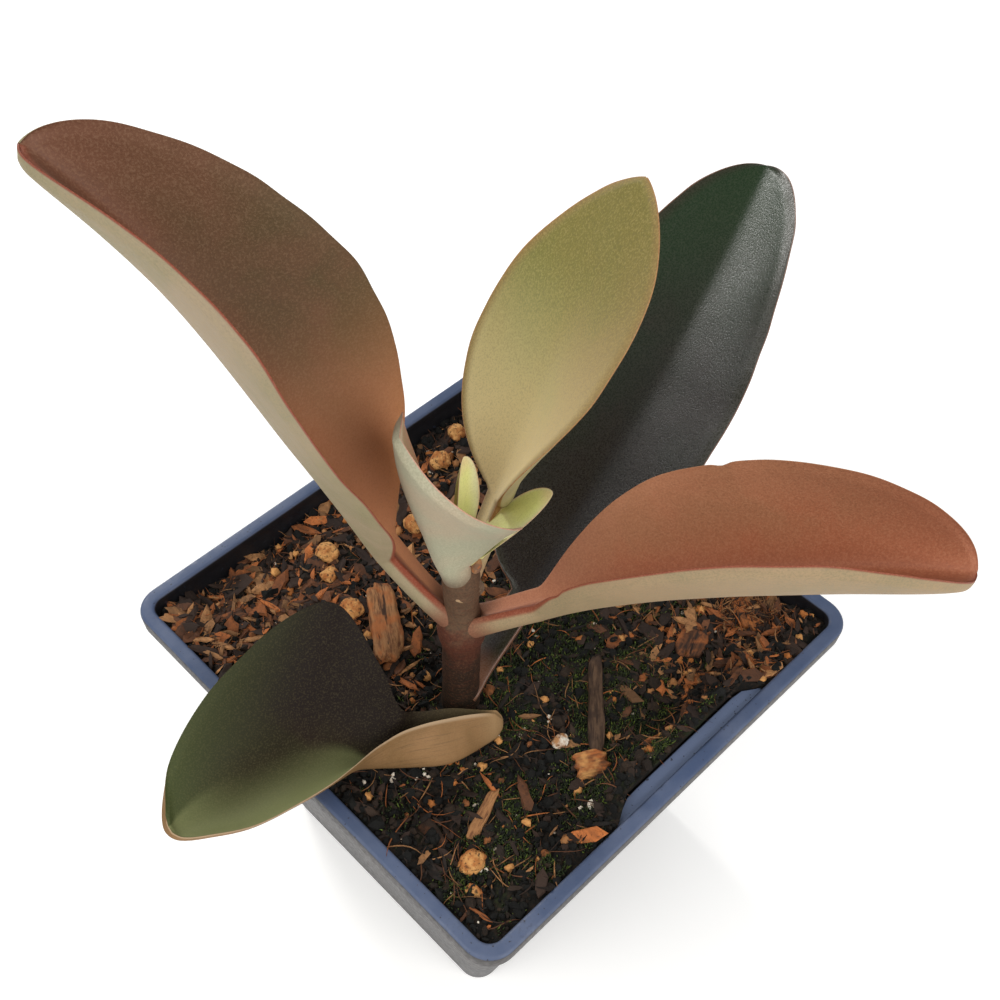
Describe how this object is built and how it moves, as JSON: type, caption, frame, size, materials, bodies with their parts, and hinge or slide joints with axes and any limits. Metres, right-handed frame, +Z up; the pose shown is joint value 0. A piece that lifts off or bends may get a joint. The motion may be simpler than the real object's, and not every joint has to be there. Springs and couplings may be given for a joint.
{
  "type": "potted kalanchoe",
  "caption": "Young succulent with thick coppery folded leaves in crossed pairs on a short stem, growing in a square tapered plastic nursery pot filled with bark mix.",
  "frame": {"origin": "centre of the pot's flat underside", "axes": "+Z up; the pot's four sides face +X, -X, +Y and -Y; the spoon leaf lies over the -X side and the large dark leaf points to +X"},
  "size_m": [0.1529, 0.1178, 0.1916],
  "materials": {
    "pot_plastic": "semi-matt blue-grey moulded plastic",
    "soil_mix": "damp dark bark and peat mix with moss",
    "stem_bark": "felted grey-brown green stem",
    "leaf_copper": "copper-brown felted leaf, grey-green underside",
    "leaf_olive": "olive-gold felted leaf with a tan margin",
    "leaf_dark": "dark green and purple satin leaf, tan underside",
    "leaf_young": "pale grey-green felted young leaf",
    "leaf_bud": "pale green felted newest leaves",
    "pumice": "rough tan-orange pumice",
    "perlite": "rough off-white expanded grains",
    "bark": "rough splintered orange-brown bark and wood"
  },
  "bodies": {
    "root": {"pot": "pot_plastic", "potting_soil": "soil_mix", "stem": "stem_bark", "leaf_left": "leaf_copper", "leaf_right": "leaf_copper", "leaf_back_olive": "leaf_olive", "leaf_back_dark": "leaf_dark", "leaf_front_cupped": "leaf_young", "leaf_front_spoon": "leaf_dark", "bud_leaf_left": "leaf_bud", "bud_leaf_right": "leaf_bud", "pumice_pebble_1": "pumice", "pumice_pebble_2": "pumice", "pumice_pebble_3": "pumice", "pumice_pebble_4": "pumice", "pumice_pebble_5": "pumice", "pumice_pebble_6": "pumice", "pumice_pebble_7": "pumice", "pumice_pebble_8": "pumice", "pumice_pebble_9": "pumice", "perlite_grain_1": "perlite", "perlite_grain_2": "perlite", "perlite_grain_3": "perlite", "bark_chip_1": "bark", "bark_chip_2": "bark", "bark_chip_3": "bark", "bark_chip_4": "bark", "bark_chip_5": "bark", "bark_chip_6": "bark", "bark_chip_7": "bark", "wood_stick": "bark"}
  },
  "joints": []
}
